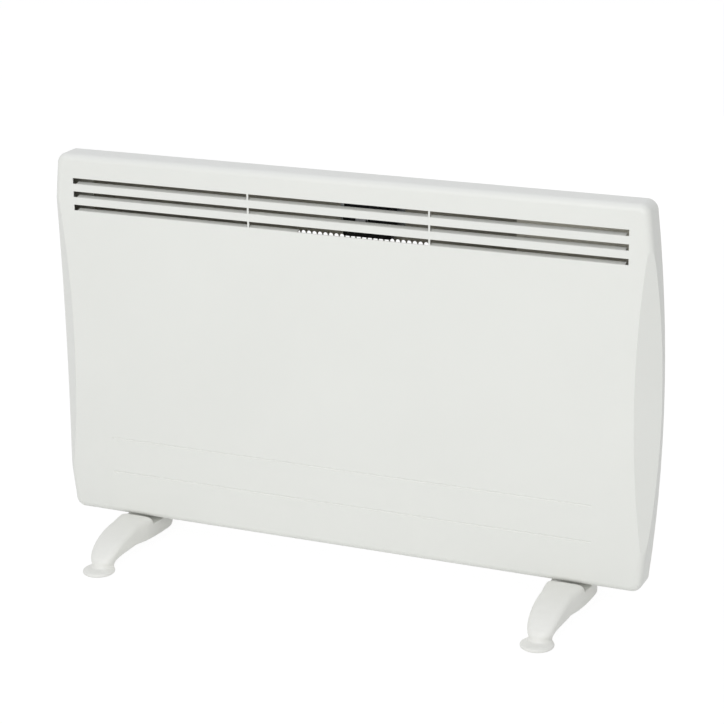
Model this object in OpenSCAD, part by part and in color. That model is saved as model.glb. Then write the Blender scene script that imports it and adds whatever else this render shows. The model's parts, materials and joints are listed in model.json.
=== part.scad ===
// Free-standing ceramic panel radiator: a pressed steel front cover with three outlet
// slots and scooped sides, a steel rear casing, ceramic blocks round armoured heating
// elements, a side-mounted thermostat with two rocker switches, and two arched feet.
// X runs to the right as the radiator is faced, Y runs to its back and Z is up.
// The origin is on the floor, midway between the four pads.

/* [Front cover] */
// Width of the cover along its top and bottom edges
cover_w = 720; // [660:10:840]
// Height of the cover
cover_h = 444.6; // [430:0.1:480]
// Height of the cover's underside above the floor
stand_h = 36; // [36:0.5:50]
// Distance of the flat front face ahead of the feet's middle
front_y = 36; // [33:1:40]
// Depth of the cover behind its flat front face
cover_d = 31.4; // [29:0.1:33]
// Sheet thickness of the cover
cover_t = 1.2; // [0.8:0.1:1.4]
// How far each side bows out at mid height
side_bow = 13.7; // [8:0.1:16]
// Rounding of the edges all round the front
front_r = 8.5; // [6:0.5:11]
// Rounding of the four corners in the front view
corner_r = 13; // [12:1:22]

/* [Scooped sides] */
// Angle of the scooped side facets from the front face
scoop_a = 42; // [36:1:46]
// Greatest depth of a scoop, measured square to its facet
scoop_d = 16.7; // [11:0.1:17]
// Half the height of a scoop
scoop_half = 195; // [170:1:200]
// Height of the scoops' middle above the cover's underside
scoop_z = 221; // [212:1:226]

/* [Outlet slots] */
// Number of outlet slots
slot_n = 3; // [1:1:3]
// Distance of each slot's ends from the cover's corners
slot_side = 21; // [18:1:80]
// Height of a slot
slot_h = 7; // [5:0.5:9]
// Distance from slot to slot
slot_pitch = 16; // [13:0.1:18]
// Distance from the cover's top to the first slot
slot_drop = 28; // [24:1:32]
// Distance of the two bridges from the middle of each slot
bridge_x = 111; // [90:1:130]
// Width of a bridge
bridge_w = 2; // [1.5:0.5:4]
// How far a slot's turned-in lip reaches behind the front face
lip_d = 7; // [5:0.5:10]
// How far the lip rises to its back edge
lip_rise = 1.6; // [1:0.1:3]
// How far the lip stops short of each end of its slot
lip_end = 4; // [2:1:8]
// Left end of the gap in the lowest lip
lip_gap_x0 = -50; // [-80:2:-20]

/* [Pressed lines] */
// Distance of each pressed line's ends from the cover's corners
line_side = 57; // [40:1:110]
// Height of the upper pressed line above the cover's underside
line_high = 97.3; // [80:0.1:110]
// Height of the lower pressed line above the cover's underside
line_low = 54.1; // [40:0.1:70]
// Radius of the pressing tool
line_r = 1.4; // [1:0.1:2]
// Depth of a pressed line
line_d = 0.8; // [0.4:0.1:1]

/* [Rear casing] */
// Depth of the casing behind the cover
casing_d = 44.6; // [44:0.2:52]
// Sheet thickness of the casing
casing_t = 1; // [0.8:0.1:1.2]
// Step in from the cover's top and bottom corners to the casing's sides
casing_in = 26; // [22:1:30]
// Step down from the cover's top to the casing's top
casing_drop = 16; // [14:1:20]
// Step up from the cover's underside to the casing's bottom
casing_rise = 10; // [9.5:0.5:14]
// Width of the casing's screw flange
flange_w = 8; // [7:0.5:9]
// Rounding of the casing's back edges
casing_r = 10; // [6:1:11]
// Rounding of the casing's corners in the back view
casing_corner = 18; // [12:1:24]
// Width of a vent
vent_w = 5.5; // [3:0.5:6]
// Distance from vent to vent in the upper group
vent_pitch = 7; // [6.5:0.5:10]
// Number of vents in the upper group
vent_n = 24; // [5:1:30]
// Height of an upper vent
vent_h = 48; // [20:1:50]
// Distance from the cover's top to the upper vents
vent_drop = 85.5; // [84:0.5:92]
// Height of a lower vent
intake_h = 17; // [10:1:17]
// Number of vents in the lower row
intake_n = 32; // [8:1:32]

/* [Ceramic core] */
// Number of ceramic blocks
block_n = 6; // [4:1:6]
// Depth of a block
block_d = 26; // [20:1:28]
// Height of a block
block_h = 210; // [190:2:212]
// Height of the blocks' underside above the cover's underside
block_z = 84; // [78:1:90]
// Gap between neighbouring blocks
block_gap = 1; // [0.5:0.1:2]
// Gap between the casing's left side and the first block
core_in = 49; // [45:1:60]
// Gap between the last block and the wiring compartment
core_out = 36; // [33:1:45]
// Radius of the armoured heating element
element_r = 4.25; // [3.5:0.25:5]
// Clearance round the element in its blocks
element_gap = 0.25; // [0.2:0.05:0.4]
// Distance between the two legs of an element
leg_pitch = 50; // [40:1:56]
// Distance between the middles of the two elements
element_pitch = 90; // [80:1:100]

/* [Controls] */
// Width of the wiring compartment
bay_w = 134; // [128:1:142]
// Distance from the cover's top to the control fascia's middle
fascia_drop = 135.6; // [130:0.1:150]
// Height of the control fascia
fascia_h = 164; // [160:2:170]
// Width of the control fascia, front to back
fascia_w = 30; // [29:1:31]
// Radius of the thermostat knob's skirt
knob_r = 14; // [11:0.5:15]
// Height of the thermostat knob
knob_h = 10; // [8:0.5:11]
// Radius of the thermostat shaft
shaft_r = 3; // [2.5:0.25:4]
// Running clearance round the shaft
shaft_gap = 0.05; // [0.03:0.01:0.08]
// Turn of a rocker from one position to the other
rocker_turn = 16; // [10:1:18]
// Width of a rocker
rocker_w = 9; // [7:0.5:10]
// Half the length of a rocker
rocker_l = 10; // [8:0.5:10.5]
// Clearance round a rocker in its frame
rocker_gap = 0.4; // [0.3:0.05:0.5]
// Radius of the mains lead that the gland takes
lead_r = 3.6; // [3:0.1:4.5]
// Height of the mains lead gland above the cover's underside
gland_up = 100; // [80:1:120]

/* [Feet] */
// Distance of each foot's middle from the cover's corner
foot_in = 85.5; // [70:0.5:120]
// Length of a foot, front to back
foot_d = 302.6; // [280:0.2:320]
// Radius of a pad
pad_r = 19.1; // [16:0.1:22]
// Radius of the round neck above a pad
neck_r = 13.3; // [11:0.1:15]
// How far the neck stands inwards of its pad's middle
neck_in = 11; // [0:0.5:13]
// Half the width of the foot's saddle at its two ends
saddle_w = 20; // [16:0.5:22]
// How far each side of the saddle bulges at the middle
saddle_bulge = 4.5; // [0:0.5:8]
// Half the width of the foot behind the cover
rear_w = 17.5; // [16:0.5:20]
// Height of the saddle's top ahead of the cover
saddle_z = 38; // [36:0.5:40]
// Height of the arch under each end of the foot
arch_z = 15; // [12:0.5:18]
// Height of the belly under the foot's middle
belly_z = 10; // [9:0.5:13]
// Top of the foot where it passes under the cover
waist_z = 29; // [26:0.5:31]
// Thickness of a glide under a pad
glide_t = 2; // [1.5:0.1:3]

/* [Hidden] */
// Longer than any piece, and how far a cut runs past the wall it goes through
far = 400;
over = 1;
// Heights and depths of the cover
z0 = stand_h;
z1 = stand_h + cover_h;
zm = (z0 + z1) / 2;
hw = cover_w / 2;
y_front = -front_y;
y_rim = y_front + cover_d;
slot_w = cover_w - 2 * slot_side;
line_w = cover_w - 2 * line_side;
foot_x = hw - foot_in;
// The bowed sides are arcs through both corners
side_r = (cover_h * cover_h / 4 + side_bow * side_bow) / (2 * side_bow);
side_cx = hw + side_bow - side_r;
// How far the discs run behind the cover's rim, and how far each corner's arc stops short
// of its two sides, in degrees
disc_past = 10;
corner_blend = 9;
// Each scoop is a cylinder laid along its facet
scoop_zm = z0 + scoop_z;
scoop_edge = 70;
scoop_r = 1 / (2 * (scoop_d / (scoop_half * scoop_half) - sin(scoop_a) / (2 * side_r)));
scoop_px = hw + side_bow - scoop_d * sin(scoop_a);
scoop_py = y_front + scoop_d * cos(scoop_a);
// Air inlets under the cover and the casing
inlet_w = 60;
inlet_d = 6;
casing_inlet_d = 8;
// Casing
cz0 = z0 + casing_rise;
cz1 = z1 - casing_drop;
chw = hw - casing_in;
cy0 = y_rim;
cy1 = y_rim + casing_d;
back_in = cy1 - casing_t;
mouth_lip = 4;
vent_x = -3.5;
bay_x = chw - bay_w;
core_x0 = -chw + core_in;
core_x1 = bay_x - core_out;
block_w = (core_x1 - core_x0 - (block_n - 1) * block_gap) / block_n;
vent_top = z1 - vent_drop;
intake_z = cz0 + casing_r + 1;
intake_x0 = core_x0 + 4;
intake_pitch = (core_x1 - core_x0 - 15) / (intake_n - 1);
inlet_pitch = chw / 3.8;
inlet_x = [for (i = [0 : 5]) (i - 2.5) * inlet_pitch];
// Core
core_y = -6 + block_d / 2;
core_z = z0 + block_z;
block_chamfer = 3;
groove_n = 4;
groove_r = 2.5;
rail_t = 1;
rail_gap = 0.3;
rail_flange = 12;
rail_x0 = core_x0 - 2;
rail_x1 = core_x1 + 2;
bracket_t = 1.5;
bracket_up = 12;
bracket_lap = 3;
bracket_foot = 14;
// Elements: the bend on the left, the sealed ends and the studs on the right
leg_z = [for (e = [-1, 1]) core_z + block_h / 2 + e * element_pitch / 2];
leg_list = [for (z = leg_z, s = [-1, 1]) z + s * leg_pitch / 2];
bore_r = element_r + element_gap;
bend_out = 3.5;
end_out = 8;
stud_l = 12;
stud_nut_h = 3;
stud_nut_r = 3.8;
bead_l = 6;
bead_t = 0.8;
collar_l = 2;
collar_t = 1.6;
element_x0 = rail_x0 - bracket_t - bend_out;
element_x1 = rail_x1 + bracket_t + end_out;
stud_x1 = element_x1 + stud_l;
// Shield behind the core
shield_t = 0.8;
shield_off = 7;
shield_flange = 8;
shield_y = back_in - shield_off;
shield_z0 = core_z - 20;
shield_z1 = core_z + block_h + 8;
// Wiring compartment, with its top where the casing's corners start
bay_y = 0;
bay_t = 1.2;
bay_flange = 12;
bay_screw_in = 25;
bay_z0 = z0 + 50;
bay_z1 = cz1 - casing_corner;
bay_x1 = chw - casing_t;
tube_hole_r = 2.2;
// Control fascia on the casing's right side
fascia_y = cy0 + casing_d / 2 - 2.3;
fascia_z = z1 - fascia_drop;
fascia_t = 2.5;
fascia_r = 4;
fascia_x = chw + fascia_t;
fascia_lap = 2;
fascia_gap = 0.3;
fascia_plug = 3;
hole_gap = 0.1;
switch_gap = 0.2;
ring_in = 0.6;
ring_out = 1.2;
ring_d = 0.3;
knob_z = fascia_z + 50;
rocker_z = [fascia_z, fascia_z - 40];
pilot_z = fascia_z + 25;
// Knob: its gap to the fascia, its cap over the shaft's end, its skirt, flutes and pointer
knob_x = fascia_x + 0.5;
knob_cap = 3;
skirt_w = 3;
skirt_h = 2.4;
skirt_r = 0.6;
crown_r = 1;
flute_n = 16;
flute_r = 1.5;
pointer_w = 1.2;
pointer_d = 0.6;
flat_d = 0.8;
end_gap = 0.01;
// Rocker switches and their pivots
frame_t = 1.2;
frame_lap = 1.5;
well_d = 7;
pivot_x = fascia_x - 3;
pivot_r = 1.2;
pivot_gap = 0.05;
pivot_wall = 0.6;
switch_w = rocker_w + 4;
switch_l = 2 * rocker_l + 6;
switch_d = 20;
pilot_r = 3.5;
pilot_l = 14;
pilot_rim = 1;
// Thermostat: its case, its sensor bulb under the compartment and the tube between them
body_x1 = chw - fascia_plug;
stat_d = 30;
stat_w = 26;
stat_h = 30;
bushing_r = 5;
bushing_sunk = 0.5;
shaft_in = 15;
sensor_x = body_x1 - 20;
sensor_l = 60;
sensor_out = 15;
sensor_y = fascia_y - 8;
bulb_r = 3;
bulb_z = cz0 + casing_t + 7;
tube_r = 1.1;
clip_w = 4.2;
clip_l = 4;
clip_in = 8;
clip_up = 2;
// Cut-out behind the slots, its sensing disc and its plate
cut_x = 12;
cut_w = 59.5;
cut_d = 17.5;
cut_h = 38;
cut_r = 2;
cut_z = vent_top + 4;
cut_step_h = 5;
cut_step_d = 4;
cut_plate_t = 1.5;
cut_lug = 10;
cut_lug_r = 3;
cut_y = back_in - cut_plate_t - cut_d;
disc_x = -6.5;
disc_r = 8;
disc_gap = 0.2;
disc_sunk = 2;
disc_crown_r = 6.5;
disc_crown_h = 3;
// Terminal block and leads
term_w = 76;
term_d = 20;
term_h = 20;
term_x = bay_x + 8;
term_n = 5;
term_pitch = 13;
term_bore_r = 2.6;
term_bore_d = 7;
term_groove_w = 2;
term_groove_d = 4;
term_z = fascia_z + 27;
wire_r = 1.5;
wire_gap = 0.2;
bend_r = 5;
grommet_r = 4;
grommet_lip = 1.5;
grommet_gap = 0.05;
// Mains lead gland and earth stud
gland_x = chw - 72;
gland_z = z0 + gland_up;
gland_neck_r = 7.9;
gland_neck_l = 10;
gland_gap = 0.2;
gland_flange_w = 3.5;
gland_flange_t = 3;
gland_cap_w = 1.5;
gland_cap_l = 5;
gland_lip_w = 2.2;
gland_rib_w = 1.4;
gland_nut_t = 4;
gland_nut_w = 3.6;
thread_gap = 0.05;
earth_x = chw - 34;
earth_l = 15;
earth_r = 2;
earth_nut_r = 4;
earth_nut_t = 3;
// Foot: reach of its saddle and arch, its neck, and numbers of its rings
pad_y = foot_d / 2 - pad_r;
saddle_y = 61.5;
arch_y = 75;
neck_y = pad_y - neck_in;
neck_z = 9;
ring_n = 24;
quarter_n = 9;
// Pads, glides and the boss under the casing
pad_z = 0.8;
pad_h = 3.8;
glide_r = 15.5;
glide_gap = 0.3;
glide_edge = 0.5;
boss_w = 14;
boss_sunk = 4;
gap_y1 = 10;
foot_seat_z = 24;
// Screws
screw_r = 2;
screw_gap = 0.1;
casing_screw_r = 1.5;
casing_screw_l = 6;
casing_head_r = 3;
rear_screw_l = 5;
rear_head_r = 3.8;
head_rim = 1.4;
head_dome = 0.8;
cross_w = 0.8;
foot_screw_r = 2.5;
foot_screw_y = 24;
foot_screw_x = 7.5;
foot_head_r = 4.6;
foot_head_h = 3.5;
foot_head_gap = 0.6;
foot_cross_l = 4.8;
foot_cross_w = 1;
foot_cross_d = 1.7;
nut_h = 4;
nut_gap = 0.02;
rear_screw_pts = [
    for (sx = [rail_x0 - bracket_t - bracket_foot / 2, rail_x1 + bracket_t + bracket_foot / 2],
        sz = [core_z + 15, core_z + block_h - 15]) [sx, sz],
    for (sz = [bay_z0 + bay_screw_in, bay_z1 - bay_screw_in]) [bay_x - bay_flange / 2, sz],
    for (sx = [core_x0 + 60, core_x1 - 60],
        sz = [shield_z0 - shield_flange / 2, shield_z1 + shield_flange / 2]) [sx, sz],
    for (sx = [cut_x - (cut_w + cut_lug) / 2, cut_x + (cut_w + cut_lug) / 2]) [sx, cut_z + cut_h / 2]];
flange_mid = chw + flange_w / 2;
screw_in = 30;
screw_step = cover_h * 0.146;
casing_screw_pts = [
    for (s = [-1, 1], sz = [cz0 + screw_in, zm - screw_step, zm + screw_step, cz1 - screw_in])
        [s * flange_mid, sz],
    for (s = [-1 : 1]) [s * chw * 0.72, cz1 + flange_w / 2],
    for (s = [-1 : 1]) [s * chw * 0.6, cz0 - flange_w / 2]];

steel_white = "whitesmoke";
plastic_white = "gainsboro";
galvanised = "silver";
bakelite = [0.08, 0.08, 0.08];
clay = "wheat";

// Extrudes a section drawn in Y and Z along X, from x0 to x1
module along_x(x0, x1) {
    translate([x0, 0, 0]) rotate([90, 0, 90]) linear_extrude(x1 - x0) children();
}

// Extrudes an outline drawn in X and Z along Y, from y0 to y1
module along_y(y0, y1) {
    translate([0, y1, 0]) rotate([90, 0, 0]) linear_extrude(y1 - y0) children();
}

// A rod along X
module rod_x(x0, x1, y, z, r) {
    translate([x0, y, z]) rotate([0, 90, 0]) cylinder(h = x1 - x0, r = r, $fn = 40);
}

// A rod along Y
module rod_y(y0, y1, x, z, r) {
    translate([x, y1, z]) rotate([90, 0, 0]) cylinder(h = y1 - y0, r = r, $fn = 40);
}

// A rod along Z
module rod_z(z_a, z_b, x, y, r) {
    translate([x, y, z_a]) cylinder(h = z_b - z_a, r = r, $fn = 40);
}

// A box from one corner to the other
module block(a, b) {
    translate(a) cube(b - a);
}

// A rectangle with four round corners
module round_rect(x0, y0, x1, y1, r) {
    translate([x0 + r, y0]) square([x1 - x0 - 2 * r, y1 - y0]);
    translate([x0, y0 + r]) square([x1 - x0, y1 - y0 - 2 * r]);
    for (x = [x0 + r, x1 - r], y = [y0 + r, y1 - r]) translate([x, y]) circle(r = r, $fn = 48);
}

// A slot with round ends, upright
module upright_slot(x, z_low, z_high, w) {
    translate([x - w / 2, z_low + w / 2]) square([w, z_high - z_low - w]);
    for (z = [z_low + w / 2, z_high - w / 2]) translate([x, z]) circle(d = w, $fn = 24);
}

// Side view of the cover, inside its skin by t, with round front edges
module cover_section(t, y_back) {
    y_a = y_front + t;
    r = front_r - t;
    translate([y_a + r, z0 + t]) square([y_back - y_a - r, cover_h - 2 * t]);
    translate([y_a, z0 + t + r]) square([y_back - y_a, cover_h - 2 * t - 2 * r]);
    for (z = [z0 + t + r, z1 - t - r]) translate([y_a + r, z]) circle(r = r, $fn = 96);
}

// A disc that faces the front, with its front rim rounded, inside its skin by t
module round_disc(big, t, n) {
    r = front_r - t;
    translate([0, y_front + t, 0]) rotate([-90, 0, 0]) rotate_extrude($fn = n) {
        square([big - t - r, cover_d + disc_past]);
        translate([0, r]) square([big - t, cover_d + disc_past - r]);
        translate([big - t - r, 0]) intersection() {
            translate([0, r]) circle(r = r, $fn = 96);
            square([r, r + over]);
        }
    }
}

// One bowed side: a very large disc
module side_disc(t) {
    translate([side_cx, 0, zm]) round_disc(side_r, t, 1440);
}

// What the four round corners of the front view take away
module corner_cuts(t) {
    wide = 2 * corner_r;
    cz = z1 - corner_r;
    cx = side_cx + sqrt(pow(side_r - corner_r, 2) - pow(cz - zm, 2));
    lean = atan2(cz - zm, cx - side_cx) + corner_blend / 2;
    upright = 90 - corner_blend / 2;
    for (sx = [0, 1], sz = [0, 1])
        translate([0, 0, sz * 2 * zm]) mirror([0, 0, sz]) mirror([sx, 0, 0])
            translate([cx, 0, cz]) difference() {
                along_y(y_front - disc_past / 2, y_rim + disc_past / 2)
                    polygon([[0, 0], [wide * cos(lean), wide * sin(lean)], [wide, wide],
                        [wide * cos(upright), wide * sin(upright)]]);
                round_disc(corner_r / cos(corner_blend), t, 96);
            }
}

// What the two scoops take away: a large cylinder along each facet
module scoop_cuts(t) {
    for (s = [0, 1]) mirror([s, 0, 0])
        translate([scoop_px + sin(scoop_a) * scoop_r, scoop_py - cos(scoop_a) * scoop_r, scoop_zm])
            rotate([0, 0, scoop_a]) rotate([0, 90, 0]) translate([0, 0, -scoop_edge])
                cylinder(h = 2 * scoop_edge, r = scoop_r + t, $fn = 1440);
}

// The cover's solid form inside its skin by t, back to y_back
module cover_form(t, y_back) {
    difference() {
        intersection() {
            along_x(-far, far) cover_section(t, y_back);
            side_disc(t);
            mirror([1, 0, 0]) side_disc(t);
        }
        scoop_cuts(t);
        corner_cuts(t);
    }
}

// Top edge of a slot
function slot_z(i) = z1 - slot_drop - i * slot_pitch;

// A slot with round ends through a level sheet of thickness t, its underside at z
module inlet(x, y, z, t, d) {
    translate([x, y, z - over]) linear_extrude(t + 2 * over)
        round_rect(-inlet_w / 2, -d / 2, inlet_w / 2, d / 2, d / 2 - 0.1);
}

// The lip that turns in behind a slot's lower edge, over one stretch
module slot_lip(i, x0, x1) {
    z = slot_z(i) - slot_h;
    y_a = y_front + cover_t / 2;
    along_x(x0, x1)
        polygon([[y_a, z - cover_t], [y_front + lip_d, z - cover_t + lip_rise],
            [y_front + lip_d, z + lip_rise], [y_a, z]]);
}

module front_panel() {
    lip_x = slot_w / 2 - lip_end;
    color(steel_white) difference() {
        union() {
            difference() {
                cover_form(0, y_rim);
                difference() {
                    cover_form(cover_t, y_rim - cover_t);
                    for (z = [line_high, line_low])
                        rod_x(-line_w / 2, line_w / 2, y_front - line_r + line_d, z0 + z,
                            line_r + cover_t);
                }
            }
            for (i = [0 : slot_n - 1])
                if (i < slot_n - 1) slot_lip(i, -lip_x, lip_x);
                else {
                    slot_lip(i, -lip_x, lip_gap_x0);
                    slot_lip(i, bridge_x, lip_x);
                }
        }
        for (z = [line_high, line_low])
            rod_x(-line_w / 2, line_w / 2, y_front - line_r + line_d, z0 + z, line_r);
        for (i = [0 : slot_n - 1], s = [[-slot_w / 2, -bridge_x - bridge_w / 2],
                [-bridge_x + bridge_w / 2, bridge_x - bridge_w / 2],
                [bridge_x + bridge_w / 2, slot_w / 2]])
            block([s[0], y_front - over, slot_z(i) - slot_h],
                [s[1], y_front + cover_t + end_gap, slot_z(i)]);
        // Mouth at the back, with a turned-in rim round it
        along_y(y_rim - cover_t - over, y_rim + over)
            round_rect(-chw + mouth_lip, cz0 + mouth_lip, chw - mouth_lip, cz1 - mouth_lip,
                casing_corner);
        // Air inlets in the underside
        for (x = inlet_x) inlet(x, y_front + cover_d * 0.6, z0, cover_t, inlet_d);
        for (p = casing_screw_pts)
            rod_y(y_rim - casing_screw_l, y_rim + over, p[0], p[1], casing_screw_r + screw_gap);
    }
}

// The casing's tray inside its skin by t, with round back edges
module casing_form(t, y_a) {
    r = casing_r - t;
    rc = casing_corner - t;
    intersection() {
        along_y(y_a, cy1 - t) round_rect(-chw + t, cz0 + t, chw - t, cz1 - t, rc);
        along_x(-far, far) round_rect(y_a - far, cz0 + t, cy1 - t, cz1 - t, r);
        linear_extrude(2 * far)
            round_rect(-chw + t, y_a - far, chw - t, cy1 - t, r);
    }
}

module rear_casing() {
    color(steel_white) difference() {
        union() {
            casing_form(0, cy0);
            along_y(cy0, cy0 + casing_t)
                round_rect(-chw - flange_w, cz0 - flange_w, chw + flange_w, cz1 + flange_w,
                    casing_corner);
        }
        casing_form(casing_t, cy0 - over);
        // Upper vents
        along_y(back_in - over, cy1 + over)
            for (i = [0 : vent_n - 1])
                upright_slot(vent_x + (i - (vent_n - 1) / 2) * vent_pitch, vent_top - vent_h, vent_top,
                    vent_w);
        // Lower row of vents
        along_y(back_in - over, cy1 + over)
            for (i = [0 : intake_n - 1])
                upright_slot(intake_x0 + i * intake_pitch, intake_z, intake_z + intake_h, vent_w);
        // Air inlets in the bottom
        for (x = inlet_x) inlet(x, cy0 + casing_d / 2, cz0, casing_t, casing_inlet_d);
        // Opening for the control fascia
        block([chw - casing_t - over, fascia_y - fascia_w / 2 + fascia_lap,
                fascia_z - fascia_h / 2 + fascia_lap],
            [chw + over, fascia_y + fascia_w / 2 - fascia_lap, fascia_z + fascia_h / 2 - fascia_lap]);
        for (p = casing_screw_pts)
            rod_y(cy0 - over, cy0 + casing_t + over, p[0], p[1], casing_screw_r + screw_gap);
        for (p = rear_screw_pts) rod_y(back_in - over, cy1 + over, p[0], p[1], screw_r + screw_gap);
        rod_y(back_in - over, cy1 + over, gland_x, gland_z, gland_neck_r + gland_gap);
        for (s = [-1, 1], d = [-1, 1])
            rod_z(cz0 - over, cz0 + casing_t + over, s * foot_x + d * foot_screw_x, foot_screw_y,
                foot_screw_r + screw_gap);
    }
}

module heat_shield() {
    x0 = core_x0;
    x1 = core_x1;
    color(galvanised) difference() {
        union() {
            block([x0, shield_y, shield_z0], [x1, shield_y + shield_t, shield_z1]);
            for (z = [shield_z0, shield_z1 - shield_t])
                block([x0, shield_y, z], [x1, back_in, z + shield_t]);
            block([x0, back_in - shield_t, shield_z0 - shield_flange], [x1, back_in, shield_z0]);
            block([x0, back_in - shield_t, shield_z1], [x1, back_in, shield_z1 + shield_flange]);
        }
        for (p = rear_screw_pts) rod_y(back_in - shield_t - over, cy1, p[0], p[1], screw_r + screw_gap);
    }
}

// Block number k, counted from the left, with a bore for each element leg
module ceramic_block(k) {
    x0 = core_x0 + (k - 1) * (block_w + block_gap);
    y_a = core_y - block_d / 2;
    top = core_z + block_h;
    color(clay) difference() {
        translate([x0, 0, 0]) rotate([90, 0, 90]) linear_extrude(block_w)
            polygon([[y_a, core_z], [y_a + block_d, core_z],
                [y_a + block_d, top - block_chamfer], [y_a + block_d - block_chamfer, top],
                [y_a + block_chamfer, top], [y_a, top - block_chamfer]]);
        for (z = leg_z, s = [-1, 1])
            rod_x(x0 - over, x0 + block_w + over, core_y, z + s * leg_pitch / 2, bore_r);
        // Upright air grooves in the front and back faces
        for (i = [1 : groove_n], y = [y_a, y_a + block_d])
            translate([x0 + i * block_w / (groove_n + 1), y, core_z - over])
                cylinder(h = block_h + 2 * over, r = groove_r, $fn = 24);
    }
}

// A folded channel that holds the blocks' lower or upper edges
module core_rail(z, up) {
    w = block_d / 2 + rail_gap;
    color(galvanised) along_x(rail_x0, rail_x1)
        translate([core_y, z]) mirror([0, up ? 0 : 1]) {
            translate([-w - rail_t, -rail_t]) square([2 * w + 2 * rail_t, rail_t]);
            for (s = [-1, 1]) translate([s * (w + rail_t / 2) - rail_t / 2, -rail_t])
                square([rail_t, rail_flange + rail_t]);
        }
}

// An end plate that carries both rails, with a foot on the casing's back
module core_bracket(x, out) {
    y_a = core_y - block_d / 2 - bracket_lap;
    z_a = core_z - bracket_up;
    z_b = core_z + block_h + bracket_up;
    color(galvanised) difference() {
        union() {
            block([x, y_a, z_a], [x + bracket_t, back_in, z_b]);
            block([out > 0 ? x : x + bracket_t - bracket_foot, back_in - bracket_t, z_a],
                [out > 0 ? x + bracket_foot : x + bracket_t, back_in, z_b]);
        }
        for (z = leg_z, s = [-1, 1])
            rod_x(x - over, x + bracket_t + over, core_y, z + s * leg_pitch / 2, bore_r);
        for (p = rear_screw_pts)
            rod_y(back_in - bracket_t - over, cy1, p[0], p[1], screw_r + screw_gap);
    }
}

// One hairpin element: two legs through the blocks and a round bend on the left
module heating_element(z) {
    color("dimgray") {
        for (s = [-1, 1]) rod_x(element_x0, element_x1, core_y, z + s * leg_pitch / 2, element_r);
        translate([element_x0, core_y, z]) rotate([90, 0, 0]) rotate([0, 0, 90])
            rotate_extrude(angle = 180, $fn = 96)
                translate([leg_pitch / 2, 0]) circle(r = element_r, $fn = 40);
    }
}

// Places its children at each of the four element ends
module at_element_ends() {
    for (z = leg_z, s = [-1, 1]) translate([element_x1, core_y, z + s * leg_pitch / 2])
        rotate([0, 90, 0]) children();
}

module element_insulators() {
    color("ivory") at_element_ends() difference() {
        union() {
            cylinder(h = bead_l, r = element_r + bead_t, $fn = 40);
            cylinder(h = collar_l, r = element_r + collar_t, $fn = 40);
        }
        translate([0, 0, -over]) cylinder(h = bead_l + 2 * over, r = screw_r, $fn = 40);
    }
}

module element_terminals() {
    color(galvanised) at_element_ends() {
        cylinder(h = stud_l, r = screw_r, $fn = 40);
        translate([0, 0, bead_l]) cylinder(h = stud_nut_h, r = stud_nut_r, $fn = 6);
    }
}

// Where each element lead turns up: the lowest leg has the lead furthest right
function lead_x(k) = term_x + term_pitch / 2 + term_pitch * (3 - k);

// A quarter turn in the X and Z plane that starts at the given angle
module elbow(from, r) {
    rotate([90, 0, 0]) rotate([0, 0, from]) rotate_extrude(angle = 90, $fn = 96)
        translate([bend_r, 0]) circle(r = r, $fn = 24);
}

// A lead that runs along X, turns through a round elbow and goes up
module lead_up(x0, x1, y, z, z_top) {
    rod_x(x0, x1 - bend_r, y, z, wire_r);
    translate([x1 - bend_r, y, z + bend_r]) elbow(270, wire_r);
    rod_z(z + bend_r, z_top, x1, y, wire_r);
}

module element_leads() {
    color("white") for (k = [0 : 3])
        lead_up(stud_x1, lead_x(k), core_y, leg_list[k], term_z);
}

module cutout_bracket() {
    y_a = back_in - cut_plate_t;
    color(galvanised) difference() {
        along_y(y_a, back_in)
            round_rect(cut_x - cut_w / 2 - cut_lug, cut_z, cut_x + cut_w / 2 + cut_lug, cut_z + cut_h,
                cut_lug_r);
        for (p = rear_screw_pts) rod_y(y_a - over, cy1, p[0], p[1], screw_r + screw_gap);
    }
}

module thermal_cutout() {
    y_b = back_in - cut_plate_t;
    color(bakelite) difference() {
        along_y(cut_y, y_b)
            round_rect(cut_x - cut_w / 2, cut_z, cut_x + cut_w / 2, cut_z + cut_h, cut_r);
        // Recess for the sensing disc, and a step along the top
        rod_y(cut_y - over, cut_y + disc_sunk, cut_x + disc_x, cut_z + cut_h / 2, disc_r + disc_gap);
        block([cut_x - cut_w, cut_y - over, cut_z + cut_h - cut_step_h],
            [cut_x + cut_w, cut_y + cut_step_d, cut_z + cut_h + over]);
    }
}

module cutout_cap() {
    color("lightgray") {
        rod_y(cut_y, cut_y + disc_sunk, cut_x + disc_x, cut_z + cut_h / 2, disc_r);
        rod_y(cut_y - disc_crown_h, cut_y, cut_x + disc_x, cut_z + cut_h / 2, disc_crown_r);
    }
}

// Sheet-metal box over the wiring at the right-hand end
module control_housing() {
    color(plastic_white) difference() {
        intersection() {
            union() {
                block([bay_x, bay_y, bay_z0], [bay_x1, back_in, bay_z1]);
                block([bay_x - bay_flange, back_in - bay_t, bay_z0], [bay_x, back_in, bay_z1]);
            }
            linear_extrude(2 * far)
                round_rect(-far, -far, bay_x1, back_in, casing_r - casing_t);
        }
        block([bay_x + bay_t, bay_y + bay_t, bay_z0 + bay_t],
            [bay_x1 + over, back_in + over, bay_z1 - bay_t]);
        for (z = leg_list) rod_x(bay_x - over, bay_x + bay_t + over, core_y, z, grommet_r + grommet_gap);
        for (p = rear_screw_pts) rod_y(back_in - bay_t - over, cy1, p[0], p[1], screw_r + screw_gap);
        // Hole for the sensor's tube
        rod_z(bay_z0 - over, bay_z0 + bay_t + over, sensor_x, sensor_y, tube_hole_r);
    }
}

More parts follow.
